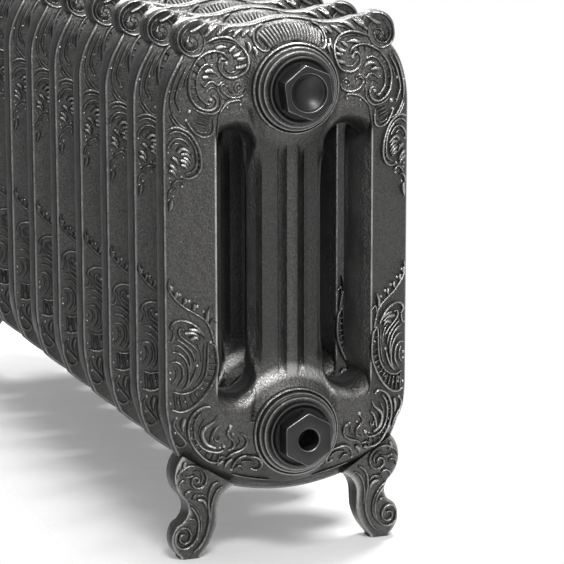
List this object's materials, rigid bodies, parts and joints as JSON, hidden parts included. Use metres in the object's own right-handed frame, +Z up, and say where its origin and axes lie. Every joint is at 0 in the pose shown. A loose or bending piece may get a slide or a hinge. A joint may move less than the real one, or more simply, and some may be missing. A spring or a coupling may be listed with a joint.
{
  "type": "cast iron radiator",
  "caption": "Low rococo cast iron column radiator, three columns deep, on scrolled feet, with volute crest, raised scrollwork, hexagon plugs and a bleed screw.",
  "frame": {"origin": "on the floor, under the middle of the row of sections", "axes": "+X along the row towards the end with the blanking plug, +Y through the depth towards the wall, +Z up"},
  "size_m": [0.842, 0.225, 0.4725],
  "materials": {
    "casting": "hand burnished grey iron with a satin sheen, darker in the hollows",
    "nipple": "machined",
    "gasket": "graphite-coated fibre, matt",
    "plug": "cast and machined, satin",
    "vent": "machined brass, satin"
  },
  "bodies": {
    "radiator": {"leg_section_1": "casting", "section_2": "casting", "section_3": "casting", "section_4": "casting", "section_5": "casting", "section_6": "casting", "section_7": "casting", "section_8": "casting", "section_9": "casting", "leg_section_10": "casting", "nipple_lower_1": "nipple", "nipple_lower_2": "nipple", "nipple_lower_3": "nipple", "nipple_lower_4": "nipple", "nipple_lower_5": "nipple", "nipple_lower_6": "nipple", "nipple_lower_7": "nipple", "nipple_lower_8": "nipple", "nipple_lower_9": "nipple", "nipple_upper_1": "nipple", "nipple_upper_2": "nipple", "nipple_upper_3": "nipple", "nipple_upper_4": "nipple", "nipple_upper_5": "nipple", "nipple_upper_6": "nipple", "nipple_upper_7": "nipple", "nipple_upper_8": "nipple", "nipple_upper_9": "nipple", "joint_gasket_lower_1": "gasket", "joint_gasket_lower_2": "gasket", "joint_gasket_lower_3": "gasket", "joint_gasket_lower_4": "gasket", "joint_gasket_lower_5": "gasket", "joint_gasket_lower_6": "gasket", "joint_gasket_lower_7": "gasket", "joint_gasket_lower_8": "gasket", "joint_gasket_lower_9": "gasket", "joint_gasket_upper_1": "gasket", "joint_gasket_upper_2": "gasket", "joint_gasket_upper_3": "gasket", "joint_gasket_upper_4": "gasket", "joint_gasket_upper_5": "gasket", "joint_gasket_upper_6": "gasket", "joint_gasket_upper_7": "gasket", "joint_gasket_upper_8": "gasket", "joint_gasket_upper_9": "gasket", "plug_gasket_upper_right": "gasket", "plug_gasket_lower_right": "gasket", "plug_gasket_upper_left": "gasket", "plug_gasket_lower_left": "gasket", "blanking_plug": "plug", "connection_bush_right": "plug", "connection_bush_left": "plug", "vent_bush": "plug", "vent_body": "vent"},
    "vent_screw": {"vent_screw": "vent"}
  },
  "joints": [
    {"name": "vent_screw_turn", "type": "hinge", "parent": "radiator", "child": "vent_screw", "pos_m": [-0.4155, 0, 0.412], "axis": [-1, 0, 0], "range_deg": [0, 360]}
  ]
}
